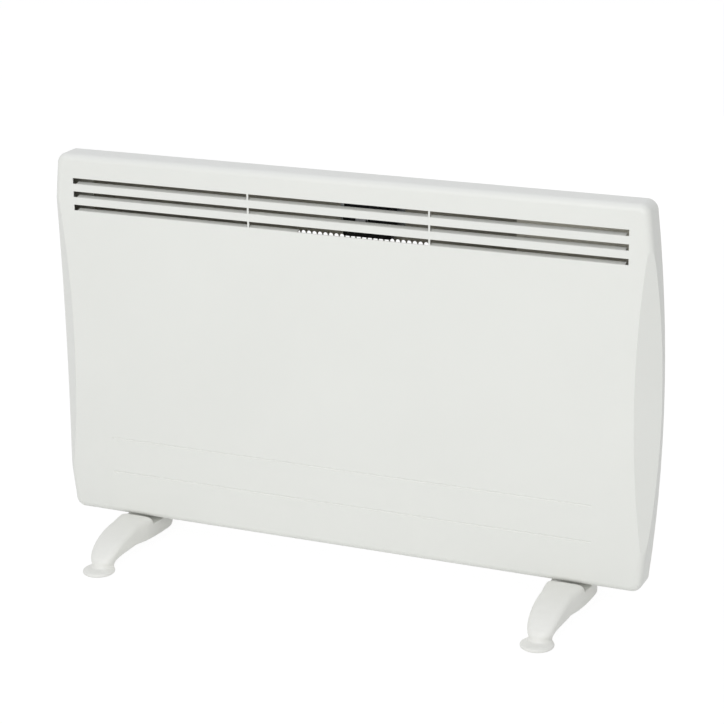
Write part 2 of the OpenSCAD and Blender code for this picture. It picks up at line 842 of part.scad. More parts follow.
module lead_grommets() {
    color([0.15, 0.15, 0.15]) for (z = leg_list)
        translate([bay_x, core_y, z]) rotate([0, 90, 0]) difference() {
            union() {
                for (z = [-grommet_lip, bay_t]) translate([0, 0, z])
                    cylinder(h = grommet_lip, r = grommet_r + grommet_lip, $fn = 40);
                cylinder(h = bay_t, r = grommet_r, $fn = 40);
            }
            translate([0, 0, -2 * grommet_lip])
                cylinder(h = bay_t + 4 * grommet_lip, r = wire_r + wire_gap, $fn = 40);
        }
}

module control_fascia() {
    a = fascia_w / 2;
    b = fascia_h / 2;
    lap = fascia_lap + fascia_gap;
    x_in = chw - fascia_plug - over;
    w = switch_w / 2 + switch_gap;
    l = switch_l / 2 + switch_gap;
    color(plastic_white) difference() {
        union() {
            along_x(chw, fascia_x)
                round_rect(fascia_y - a, fascia_z - b, fascia_y + a, fascia_z + b, fascia_r);
            block([chw - fascia_plug, fascia_y - a + lap, fascia_z - b + lap],
                [chw, fascia_y + a - lap, fascia_z + b - lap]);
        }
        rod_x(x_in, fascia_x + over, fascia_y, knob_z, bushing_r + hole_gap);
        rod_x(x_in, fascia_x + over, fascia_y, pilot_z, pilot_r + hole_gap);
        for (z = rocker_z)
            block([x_in, fascia_y - w, z - l], [fascia_x + over, fascia_y + w, z + l]);
        // Shallow ring groove round the knob
        translate([fascia_x - ring_d, fascia_y, knob_z]) rotate([0, 90, 0]) difference() {
            cylinder(h = ring_d + over, r = knob_r + ring_out, $fn = 96);
            translate([0, 0, -over]) cylinder(h = ring_d + 3 * over, r = knob_r + ring_in, $fn = 96);
        }
    }
}

module thermostat_body() {
    color(bakelite) difference() {
        union() {
            block([body_x1 - stat_d, fascia_y - stat_w / 2, knob_z - stat_h / 2],
                [body_x1, fascia_y + stat_w / 2, knob_z + stat_h / 2]);
            rod_x(body_x1, fascia_x - bushing_sunk, fascia_y, knob_z, bushing_r);
        }
        rod_x(body_x1 - shaft_in - over, fascia_x + over, fascia_y, knob_z, shaft_r + shaft_gap);
    }
}

module thermostat_shaft() {
    color(galvanised) difference() {
        rod_x(body_x1 - shaft_in, knob_x + knob_h - knob_cap, fascia_y, knob_z, shaft_r);
        // Flat for the knob
        block([knob_x, fascia_y - shaft_r, knob_z + shaft_r - flat_d],
            [knob_x + knob_h, fascia_y + shaft_r, knob_z + 2 * shaft_r]);
    }
}

module thermostat_knob() {
    grip_r = knob_r - skirt_w;
    bore_l = knob_h - knob_cap + end_gap + over;
    color(plastic_white) translate([knob_x, fascia_y, knob_z]) rotate([0, 90, 0]) difference() {
        rotate_extrude($fn = 96) {
            square([knob_r - skirt_r, skirt_h]);
            translate([0, skirt_r]) square([knob_r, skirt_h - 2 * skirt_r]);
            for (y = [skirt_r, skirt_h - skirt_r])
                translate([knob_r - skirt_r, y]) circle(r = skirt_r, $fn = 24);
            translate([0, skirt_h / 2]) square([grip_r, knob_h - crown_r - skirt_h / 2]);
            translate([0, skirt_h / 2]) square([grip_r - crown_r, knob_h - skirt_h / 2]);
            translate([grip_r - crown_r, knob_h - crown_r]) circle(r = crown_r, $fn = 24);
        }
        // Grip flutes
        for (i = [1 : flute_n - 1]) rotate([0, 0, i * 360 / flute_n])
            translate([grip_r + flute_r / 2, 0, skirt_h]) cylinder(h = knob_h, r = flute_r, $fn = 24);
        // Pointer groove, on the side that points up
        translate([-knob_r + 1, -pointer_w / 2, knob_h - pointer_d])
            cube([knob_r - skirt_w, pointer_w, over]);
        translate([-knob_r + pointer_d, -pointer_w / 2, skirt_h - pointer_d])
            cube([skirt_w, pointer_w, over]);
        // Bore with its flat
        intersection() {
            translate([0, 0, -over]) cylinder(h = bore_l, r = shaft_r, $fn = 40);
            translate([-shaft_r + flat_d, -knob_r, -over]) cube([2 * knob_r, 2 * knob_r, bore_l]);
        }
    }
}

// Sensor bulb under the compartment, and the tube up to the thermostat
module thermostat_sensor() {
    color("peru") {
        rod_x(sensor_x - sensor_out - sensor_l, sensor_x - sensor_out, sensor_y, bulb_z, bulb_r);
        rod_x(sensor_x - sensor_out, sensor_x - bend_r, sensor_y, bulb_z, tube_r);
        translate([sensor_x - bend_r, sensor_y, bulb_z + bend_r]) elbow(270, tube_r);
        rod_z(bulb_z + bend_r, knob_z - stat_h / 2, sensor_x, sensor_y, tube_r);
        // Clips that stand on the casing's bottom
        for (d = [clip_in, sensor_l - clip_in]) let (x = sensor_x - sensor_out - d) difference() {
            block([x, sensor_y - clip_w, cz0 + casing_t],
                [x + clip_l, sensor_y + clip_w, bulb_z + clip_up]);
            rod_x(x - over, x + clip_l + over, sensor_y, bulb_z, bulb_r);
        }
    }
}

// Case of the switch at height z: a frame, a case and a well for its rocker
module switch_body(z) {
    x_in = chw - switch_d;
    color(bakelite) difference() {
        union() {
            block([x_in, fascia_y - switch_w / 2, z - switch_l / 2],
                [fascia_x, fascia_y + switch_w / 2, z + switch_l / 2]);
            along_x(fascia_x, fascia_x + frame_t)
                round_rect(fascia_y - switch_w / 2 - frame_lap, z - switch_l / 2 - frame_lap,
                    fascia_y + switch_w / 2 + frame_lap, z + switch_l / 2 + frame_lap, frame_lap);
        }
        block([pivot_x - well_d, fascia_y - rocker_w / 2 - rocker_gap, z - rocker_l - 1],
            [fascia_x + frame_t + over, fascia_y + rocker_w / 2 + rocker_gap, z + rocker_l + 1]);
        rod_y(fascia_y - switch_w / 2 + pivot_wall, fascia_y + switch_w / 2 - pivot_wall, pivot_x, z,
            pivot_r + pivot_gap);
    }
}

// Rocker of the switch at height z, resting with its lower end pressed in
module rocker(z) {
    back = 3.5;
    lip = 2;
    tip = 5.3;
    dish = 3.8;
    pin = switch_w - 2 * pivot_wall - 8 * pivot_gap;
    color([0.2, 0.2, 0.2]) translate([pivot_x, fascia_y, z]) rotate([0, rocker_turn / 2, 0]) {
        rotate([90, 0, 0]) linear_extrude(rocker_w, center = true)
            polygon([[-back, -rocker_l + 1], [lip, -rocker_l], [tip, -rocker_l],
                [(tip + 2 * dish) / 3, -rocker_l / 2], [dish, 0], [(tip + 2 * dish) / 3, rocker_l / 2],
                [tip, rocker_l], [lip, rocker_l], [-back, rocker_l - 1]]);
        rod_y(-pin / 2, pin / 2, 0, 0, pivot_r);
    }
}

module pilot_lens() {
    color("orangered") {
        rod_x(chw - pilot_l, fascia_x, fascia_y, pilot_z, pilot_r);
        rod_x(fascia_x, fascia_x + pilot_rim, fascia_y, pilot_z, pilot_r + pilot_rim);
        translate([fascia_x + pilot_rim, fascia_y, pilot_z]) rotate([0, 90, 0])
            cylinder(h = pilot_rim, r1 = pilot_r + pilot_rim, r2 = pilot_r - pilot_rim, $fn = 48);
    }
}

module terminal_block() {
    y_a = bay_y + bay_t;
    color("ivory") difference() {
        block([term_x, y_a, term_z], [term_x + term_w, y_a + term_d, term_z + term_h]);
        for (i = [1 : term_n])
            translate([term_x + i * term_pitch - term_groove_w / 2, y_a + term_d - term_groove_d,
                    term_z - over])
                cube([term_groove_w, term_groove_d + over, term_h + 2 * over]);
        for (i = [0 : term_n - 1])
            rod_y(y_a + term_d - term_bore_d, y_a + term_d + over, term_x + (i + 0.5) * term_pitch,
                term_z + term_h / 2, term_bore_r);
    }
}

module control_leads() {
    y_switch = fascia_y - 4;
    lead_in = 4;
    lead_step = 12;
    pair_step = 8;
    color("saddlebrown") for (k = [0, 1]) {
        x = term_x + term_w - lead_in - lead_step * k;
        z = rocker_z[1 - k];
        rod_z(z + bend_r, term_z, x, y_switch, wire_r);
        translate([x + bend_r, y_switch, z + bend_r]) elbow(180, wire_r);
        rod_x(x + bend_r, chw - switch_d, y_switch, z, wire_r);
    }
    color("saddlebrown") for (y = [core_y, core_y + pair_step])
        rod_x(term_x + term_w, body_x1 - stat_d, y, term_z + term_h * 0.6, wire_r);
}

module earth_stud() {
    color("gold") {
        rod_y(back_in - earth_l, back_in, earth_x, gland_z, earth_r);
        for (y = [earth_l / 5, earth_l * 8 / 15]) translate([earth_x, back_in - y, gland_z])
            rotate([90, 0, 0]) cylinder(h = earth_nut_t, r = earth_nut_r, $fn = 6);
    }
}

module cable_gland() {
    cap_r = gland_neck_r + gland_cap_w;
    cap_z = gland_flange_t + gland_cap_l;
    color([0.12, 0.12, 0.12]) translate([gland_x, cy1, gland_z]) rotate([-90, 0, 0]) difference() {
        union() {
            translate([0, 0, -gland_neck_l])
                cylinder(h = gland_neck_l + end_gap, r = gland_neck_r, $fn = 64);
            cylinder(h = gland_flange_t, r = gland_neck_r + gland_flange_w, $fn = 64);
            translate([0, 0, gland_flange_t]) cylinder(h = gland_cap_l, r = cap_r, $fn = 64);
            translate([0, 0, cap_z])
                cylinder(h = gland_cap_l, r1 = cap_r, r2 = lead_r + gland_lip_w, $fn = 64);
            for (a = [0 : 30 : 330]) rotate([0, 0, a])
                translate([cap_r - 0.3, -gland_rib_w / 2, gland_flange_t])
                    cube([1, gland_rib_w, gland_cap_l]);
        }
        translate([0, 0, -gland_neck_l - over])
            cylinder(h = gland_neck_l + cap_z + gland_cap_l + 2 * over, r = lead_r, $fn = 64);
    }
}

module gland_nut() {
    color([0.12, 0.12, 0.12]) translate([gland_x, back_in - gland_nut_t, gland_z]) rotate([-90, 0, 0])
        difference() {
            cylinder(h = gland_nut_t, r = gland_neck_r + gland_nut_w, $fn = 6);
            translate([0, 0, -over])
                cylinder(h = gland_nut_t + 2 * over, r = gland_neck_r + thread_gap, $fn = 64);
        }
}

// Foot: rings between an upper and a lower contour, from one pad's neck to the other.
// Each entry is the middle of the ring's top and bottom edge, as [y, z].
function out_pt(a) = [-(saddle_y + (neck_y + neck_r - saddle_y) * cos(a)),
    neck_z + (saddle_z - neck_z) * pow(sin(a), 1.2)];
function in_pt(a) = [-(arch_y + (neck_y - neck_r - arch_y) * cos(a)),
    neck_z - 2 + (arch_z - neck_z + 2) * pow(sin(a), 0.7)];
// Stations: [top point, bottom point, half width, squareness of the top, of the bottom]
function arm_st(a, w) = [out_pt(a), in_pt(a), neck_r + (w - neck_r) * sin(a),
    2 + 2.6 * sin(a), 2 + 9 * pow(sin(a), 2)];
function mid_w(y) = y < 0 ? saddle_w + saddle_bulge * cos(90 * y / arch_y)
    : rear_w + (saddle_w + saddle_bulge - rear_w) * cos(min(90, y * 5));
function flip(st) = [[-st[0][0], st[0][1]], [-st[1][0], st[1][1]], st[2], st[3], st[4]];
quarter = [for (i = [0 : quarter_n]) 90 * i / quarter_n];
mid_st = [for (y = [-45, -30, -15, 0, 4, 8, 12, 18, 45])
    [[y, saddle_z], [y * arch_y / saddle_y, belly_z + (arch_z - belly_z) * pow(y / saddle_y, 2)],
        mid_w(y), 4.6, 11]];
neck_st = [[-neck_y - 2 - neck_r, 4], [-neck_y - 2 + neck_r, 4], neck_r, 2, 2];
stations = concat([neck_st], [for (a = quarter) arm_st(a, saddle_w)], mid_st,
    [for (i = [0 : quarter_n]) flip(arm_st(quarter[quarter_n - i], rear_w))], [flip(neck_st)]);
function sgn_pow(v, p) = sign(v) * pow(abs(v), p);
function ring(st) = let (top = st[0], low = st[1], m = (top + low) / 2, h = (top - low) / 2)
    [for (j = [0 : ring_n - 1]) let (a = 360 * j / ring_n, p = 2 / (a < 180 ? st[3] : st[4]),
        c = sgn_pow(cos(a), p), s = sgn_pow(sin(a), p))
        [st[2] * c, m[0] + h[0] * s, m[1] + h[1] * s]];
module arm() {
    n = len(stations);
    pts = [for (st = stations) each ring(st)];
    sides = [for (i = [0 : n - 2], j = [0 : ring_n - 1]) let (k = (j + 1) % ring_n)
        each [[i * ring_n + j, i * ring_n + k, (i + 1) * ring_n + k],
            [i * ring_n + j, (i + 1) * ring_n + k, (i + 1) * ring_n + j]]];
    cap_a = [for (j = [ring_n - 1 : -1 : 0]) j];
    cap_b = [for (j = [0 : ring_n - 1]) (n - 1) * ring_n + j];
    polyhedron(points = pts, faces = concat(sides, [cap_a], [cap_b]));
}

module pad() {
    top = pad_z + pad_h;
    rotate_extrude($fn = 96)
        polygon([[0, pad_z], [pad_r - 0.8, pad_z], [pad_r, pad_z + 0.8], [pad_r, top - 1.2],
            [pad_r - 0.4, top - 0.4], [pad_r - 1.4, top + 0.2], [pad_r - 5, top + 0.8],
            [0, top + 0.8]]);
}

module foot(x) {
    gap_w = saddle_w + saddle_bulge + 2;
    color(plastic_white) translate([x, 0, 0]) difference() {
        union() {
            arm();
            for (s = [-1, 1]) translate([0, s * pad_y, 0]) pad();
            // Boss that carries the casing
            block([-boss_w, gap_y1, waist_z - boss_sunk], [boss_w, cy1 - 1, cz0]);
        }
        // Air gap between the foot and the cover's back rim
        block([-gap_w, y_front - 1, waist_z], [gap_w, gap_y1, saddle_z + over]);
        for (s = [-1, 1]) translate([0, s * pad_y, pad_z - over])
            cylinder(h = over + glide_t - pad_z, r = glide_r + glide_gap, $fn = 64);
        for (d = [-1, 1]) translate([d * foot_screw_x, foot_screw_y, 0]) {
            cylinder(h = foot_seat_z, r = foot_head_r + foot_head_gap, $fn = 40);
            cylinder(h = cz0 + over, r = foot_screw_r + screw_gap, $fn = 40);
        }
    }
}

module glide(x, y) {
    color("white") translate([x, y, 0]) rotate_extrude($fn = 64) {
        square([glide_r - glide_edge, glide_t]);
        translate([0, glide_edge]) square([glide_r, glide_t - glide_edge]);
    }
}

module foot_screws() {
    color(galvanised) for (s = [-1, 1], d = [-1, 1])
        translate([s * foot_x + d * foot_screw_x, foot_screw_y, 0]) difference() {
            union() {
                translate([0, 0, foot_seat_z - foot_head_h])
                    cylinder(h = foot_head_h, r = foot_head_r, $fn = 40);
                translate([0, 0, foot_seat_z])
                    cylinder(h = cz0 + casing_t + nut_h + 2 - foot_seat_z, r = foot_screw_r, $fn = 40);
            }
            translate([0, 0, foot_seat_z - foot_head_h]) for (a = [0, 90]) rotate([0, 0, a])
                translate([-foot_cross_l / 2, -foot_cross_w / 2, -over])
                    cube([foot_cross_l, foot_cross_w, foot_cross_d + over]);
        }
}

module foot_nuts() {
    color(galvanised) for (s = [-1, 1], d = [-1, 1])
        translate([s * foot_x + d * foot_screw_x, foot_screw_y, cz0 + casing_t]) difference() {
            cylinder(h = nut_h, r = foot_head_r, $fn = 6);
            translate([0, 0, -over]) cylinder(h = nut_h + 2 * over, r = foot_screw_r + nut_gap, $fn = 40);
        }
}

// A pan-head screw driven in from the back, head on the plane Y = y
module back_screw(x, z, y, r, head_r, long) {
    translate([x, y, z]) rotate([-90, 0, 0]) difference() {
        union() {
            translate([0, 0, -long]) cylinder(h = long, r = r, $fn = 32);
            cylinder(h = head_rim, r = head_r, $fn = 32);
            translate([0, 0, head_rim]) cylinder(h = head_dome, r1 = head_r, r2 = head_r - 1, $fn = 32);
        }
        translate([0, 0, head_rim / 2]) for (a = [0, 90]) rotate([0, 0, a])
            translate([-head_r / 2, -cross_w / 2, 0]) cube([head_r, cross_w, head_rim + head_dome]);
    }
}

module casing_screws() {
    color(galvanised) for (p = casing_screw_pts)
        back_screw(p[0], p[1], cy0 + casing_t, casing_screw_r, casing_head_r, casing_screw_l);
}

module rear_screws() {
    color(galvanised) for (p = rear_screw_pts)
        back_screw(p[0], p[1], cy1, screw_r, rear_head_r, rear_screw_l);
}

front_panel();
rear_casing();
heat_shield();
ceramic_block(1);  // ceramic_block_1
ceramic_block(2);  // ceramic_block_2
ceramic_block(3);  // ceramic_block_3
ceramic_block(4);  // ceramic_block_4
ceramic_block(5);  // ceramic_block_5
ceramic_block(6);  // ceramic_block_6
core_rail(core_z + block_h + rail_gap, false);  // core_rail_top
core_rail(core_z, true);  // core_rail_bottom
core_bracket(rail_x0 - bracket_t, -1);  // core_bracket_left
core_bracket(rail_x1, 1);  // core_bracket_right
heating_element(leg_z[0]);  // heating_element_lower
heating_element(leg_z[1]);  // heating_element_upper
element_insulators();
element_terminals();
element_leads();
thermal_cutout();
cutout_bracket();
cutout_cap();
control_housing();
lead_grommets();
control_fascia();
thermostat_body();
thermostat_shaft();
thermostat_knob();
thermostat_sensor();
switch_body(rocker_z[0]);  // switch_body_1
switch_body(rocker_z[1]);  // switch_body_2
rocker(rocker_z[0]);  // rocker_1
rocker(rocker_z[1]);  // rocker_2
pilot_lens();
terminal_block();
control_leads();
earth_stud();
cable_gland();
gland_nut();
foot(-foot_x);  // foot_left
foot(foot_x);  // foot_right
glide(-foot_x, -pad_y);  // glide_front_left
glide(foot_x, -pad_y);  // glide_front_right
glide(-foot_x, pad_y);  // glide_rear_left
glide(foot_x, pad_y);  // glide_rear_right
foot_screws();
foot_nuts();
casing_screws();
rear_screws();
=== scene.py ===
import json
import math
import bpy
import bmesh
from mathutils import Matrix, Vector

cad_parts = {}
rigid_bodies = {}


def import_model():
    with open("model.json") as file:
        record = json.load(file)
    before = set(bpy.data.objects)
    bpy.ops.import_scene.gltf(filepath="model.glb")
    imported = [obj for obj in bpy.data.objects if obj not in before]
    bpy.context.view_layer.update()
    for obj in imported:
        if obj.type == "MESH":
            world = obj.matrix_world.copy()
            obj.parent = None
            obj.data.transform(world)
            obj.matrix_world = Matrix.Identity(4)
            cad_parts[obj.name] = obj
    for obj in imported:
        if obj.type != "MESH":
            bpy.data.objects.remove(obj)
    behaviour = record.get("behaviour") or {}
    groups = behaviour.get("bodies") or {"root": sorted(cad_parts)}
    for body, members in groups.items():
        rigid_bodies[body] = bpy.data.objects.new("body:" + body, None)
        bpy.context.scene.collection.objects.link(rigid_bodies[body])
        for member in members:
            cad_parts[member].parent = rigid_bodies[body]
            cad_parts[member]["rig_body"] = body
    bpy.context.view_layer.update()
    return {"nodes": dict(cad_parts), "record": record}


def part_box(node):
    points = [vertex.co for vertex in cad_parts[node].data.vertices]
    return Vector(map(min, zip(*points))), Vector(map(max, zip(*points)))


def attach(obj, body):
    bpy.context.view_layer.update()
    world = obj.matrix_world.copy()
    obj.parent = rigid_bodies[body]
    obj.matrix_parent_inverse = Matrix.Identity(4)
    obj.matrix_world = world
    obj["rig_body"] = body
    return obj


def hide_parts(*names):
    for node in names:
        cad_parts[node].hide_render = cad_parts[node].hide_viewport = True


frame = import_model()
nodes = frame["nodes"]
slotOf = {row["node"]: row["material_slot"] for row in frame["record"]["subparts"]}
mm = 0.001
print("stage 1: frame loaded")


# sRGB hex text, as the linear colour that a socket holds
def toLinear(hexText):
    parts = [int(hexText[i:i + 2], 16) / 255 for i in (1, 3, 5)]
    return [v / 12.92 if v <= 0.04045 else ((v + 0.055) / 1.055) ** 2.4 for v in parts] + [1.0]


# Adds a node, sets its sockets and properties, and links what feeds it
def addNode(tree, kind, settings=None, links=None):
    node = tree.nodes.new(kind)
    for key, value in (settings or {}).items():
        if isinstance(key, int) or key in node.inputs:
            node.inputs[key].default_value = value
        else:
            setattr(node, key, value)
    for key, source in (links or {}).items():
        tree.links.new(source, node.inputs[key])
    return node


# Gives a socket a number, or links what feeds it
def feed(tree, socket, value):
    if isinstance(value, (int, float)):
        socket.default_value = value
    else:
        tree.links.new(value, socket)


# One step of arithmetic on numbers and sockets
def calc(tree, operation, *values):
    node = addNode(tree, "ShaderNodeMath", {"operation": operation})
    for socket, value in zip(node.inputs, values):
        feed(tree, socket, value)
    return node.outputs[0]


def linked(name, data):
    obj = bpy.data.objects.new(name, data)
    bpy.context.scene.collection.objects.link(obj)
    return obj


def startMaterial(name, look):
    material = bpy.data.materials.new(name)
    material.use_nodes = True
    tree = material.node_tree
    shader = tree.nodes["Principled BSDF"]
    for key in ("IOR", "Metallic", "Roughness"):
        if key in look:
            shader.inputs[key].default_value = look[key]
    place = addNode(tree, "ShaderNodeTexCoord").outputs["Object"]
    return material, tree, shader, place


# A pattern's size in millimetres, as the scale of a texture that works in metres
def perCell(size):
    return 1.0 / (size * mm)


def noise(tree, place, size, detail=2.0):
    made = addNode(tree, "ShaderNodeTexNoise", {"Scale": perCell(size), "Detail": detail},
                   {"Vector": place})
    return made.outputs["Fac"]


def cells(tree, place, size):
    made = addNode(tree, "ShaderNodeTexVoronoi", {"Scale": perCell(size)}, {"Vector": place})
    return made.outputs


def stretched(tree, place, scale):
    return addNode(tree, "ShaderNodeMapping", {"Scale": scale}, {"Vector": place}).outputs["Vector"]


# Feeds the shader: one pattern mixes two near tones, one gives relief, and one moves the roughness
def dress(tree, shader, look, tones, bumps, gloss=None):
    tint = addNode(tree, "ShaderNodeMix", {"data_type": "RGBA", 6: toLinear(look["colour"]),
                                           7: toLinear(look["shade"])}, {0: tones})
    relief = addNode(tree, "ShaderNodeBump", {"Distance": look["depth"] * mm}, {"Height": bumps})
    tree.links.new(tint.outputs[2], shader.inputs["Base Color"])
    tree.links.new(relief.outputs["Normal"], shader.inputs["Normal"])
    if gloss is not None:
        low, high = (look["Roughness"] + change for change in look["sheen"])
        sheen = addNode(tree, "ShaderNodeMapRange", {"To Min": low, "To Max": high},
                        {"Value": gloss})
        tree.links.new(sheen.outputs["Result"], shader.inputs["Roughness"])


# A second colour over the first, where a pattern is 1
def overlaid(tree, shader, colour, pattern):
    plain = shader.inputs["Base Color"].links[0].from_socket
    mix = addNode(tree, "ShaderNodeMix", {"data_type": "RGBA", 7: toLinear(colour)},
                  {0: pattern, 6: plain})
    tree.links.new(mix.outputs[2], shader.inputs["Base Color"])


# Powder coat: sprayed dry, then baked. Even colour, faint orange peel, soft sheen
def powderCoat(name, look):
    material, tree, shader, place = startMaterial(name, look)
    clouds = noise(tree, place, look["cloud"], detail=3.0)
    peel = noise(tree, place, look["peel"], detail=1.0)
    flow = noise(tree, place, look["flow"], detail=1.0)
    dress(tree, shader, look, clouds, peel, flow)
    return material


# A thin film, its tone drawn upright into faint streaks: painted shade inside the pressings, and
# the dial's ink
def streakedFilm(name, look):
    material, tree, shader, place = startMaterial(name, look)
    drawn = stretched(tree, place, (1.0, 1.0, look["drain"]))
    streaks = noise(tree, drawn, look["streak"], detail=3.0)
    dress(tree, shader, look, streaks, noise(tree, place, look["grit"]))
    return material


# Moulded plastic: a spark-eroded tool leaves a fine even grain, and the flow faint clouds
def mouldedPlastic(name, look):
    material, tree, shader, place = startMaterial(name, look)
    grain = noise(tree, place, look["grain"], detail=1.0)
    dress(tree, shader, look, noise(tree, place, look["cloud"]), grain, grain)
    return material


# Bare metal: fine lines or a soft grain from rolling, drawing or turning, and dulled patches
def bareMetal(name, look):
    material, tree, shader, place = startMaterial(name, look)
    lines = noise(tree, stretched(tree, place, look["draw"]), look["grain"])
    dress(tree, shader, look, noise(tree, place, look["patch"]), lines, lines)
    return material


# Hot-dip galvanised sheet: flat zinc crystals, each with its own tone and sheen
def galvanisedSheet(name, look):
    material, tree, shader, place = startMaterial(name, look)
    crystals = cells(tree, place, look["crystal"])
    tone = addNode(tree, "ShaderNodeSeparateColor", None, {"Color": crystals["Color"]}).outputs
    dress(tree, shader, look, tone["Red"], noise(tree, place, look["skin"]), tone["Green"])
    return material


# Unglazed fired clay: dusty, clouded, with dark iron specks and small pits
def firedClay(name, look):
    material, tree, shader, place = startMaterial(name, look)
    clouds = noise(tree, place, look["cloud"], detail=4.0)
    dress(tree, shader, look, clouds, noise(tree, place, look["pit"], detail=3.0))
    core, rim = look["speckSize"]  # as shares of the distance between specks
    dots = addNode(tree, "ShaderNodeMapRange",
                   {"From Min": core, "From Max": rim, "To Min": 1.0, "To Max": 0.0},
                   {"Value": cells(tree, place, look["speckStep"])["Distance"]})
    overlaid(tree, shader, look["speck"], dots.outputs["Result"])
    return material


# Rubber and silicone: dull, with a dusting of lighter bloom
def rubberSkin(name, look):
    material, tree, shader, place = startMaterial(name, look)
    bloom = noise(tree, place, look["bloom"], detail=3.0)
    dress(tree, shader, look, bloom, noise(tree, place, look["grain"]))
    return material


# The knob's plastic. Paint fills its pointer groove, from the middle of the face to the upper edge
def pointerPlastic(name, look):
    material = mouldedPlastic(name, look)
    tree = material.node_tree
    low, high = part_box("thermostat_knob")
    middle = (low + high) / 2
    place = addNode(tree, "ShaderNodeTexCoord").outputs["Object"]
    offset = addNode(tree, "ShaderNodeVectorMath",
                     {"operation": "SUBTRACT", 1: (high.x, middle.y, middle.z)}, {0: place})
    apart = addNode(tree, "ShaderNodeSeparateXYZ", None, {0: offset.outputs[0]}).outputs
    narrow = calc(tree, "LESS_THAN", calc(tree, "ABSOLUTE", apart["Y"]), look["groove"] / 2 * mm)
    deep = calc(tree, "LESS_THAN", apart["X"], -look["sunk"] * mm)
    upper = calc(tree, "GREATER_THAN", apart["Z"], 0.0)
    filled = calc(tree, "MULTIPLY", calc(tree, "MULTIPLY", narrow, deep), upper)
    overlaid(tree, tree.nodes["Principled BSDF"], look["pointer"], filled)
    return material


whitePaint = {"colour": "#E9EAE5", "shade": "#E4E5E0", "cloud": 160, "flow": 9, "peel": 1.4,
              "depth": 0.012, "sheen": (-0.04, 0.04), "Roughness": 0.42, "IOR": 1.5}
# Painted shade: the darker tone given to the insides of the cover and casing. The dial's ink
# borrows this look
shadeFilmLook = {"colour": "#B5B3A8", "shade": "#ABA99E", "streak": 14, "drain": 0.15, "grit": 0.8,
              "depth": 0.01, "Roughness": 0.55, "IOR": 1.5}
mouldLook = {"cloud": 30, "grain": 0.7, "depth": 0.02, "sheen": (-0.05, 0.05), "Roughness": 0.5,
             "IOR": 1.53}
metalLook = {"grain": 0.8, "patch": 6, "draw": (1, 1, 1), "depth": 0.01, "sheen": (-0.08, 0.08),
             "Metallic": 1.0}
zincLook = {"colour": "#A9ACAE", "shade": "#C3C6C8", "crystal": 9, "skin": 1.2, "depth": 0.02,
            "sheen": (-0.08, 0.1), "Roughness": 0.42, "Metallic": 1.0}
clayLook = {"colour": "#C9BBA3", "shade": "#BBAC92", "cloud": 22, "speck": "#8B7A62",
            "speckStep": 2.2, "speckSize": (0.06, 0.14), "pit": 0.8, "depth": 0.12,
            "Roughness": 0.85, "IOR": 1.55}
rubberLook = {"bloom": 6, "grain": 0.7, "depth": 0.03, "IOR": 1.52}

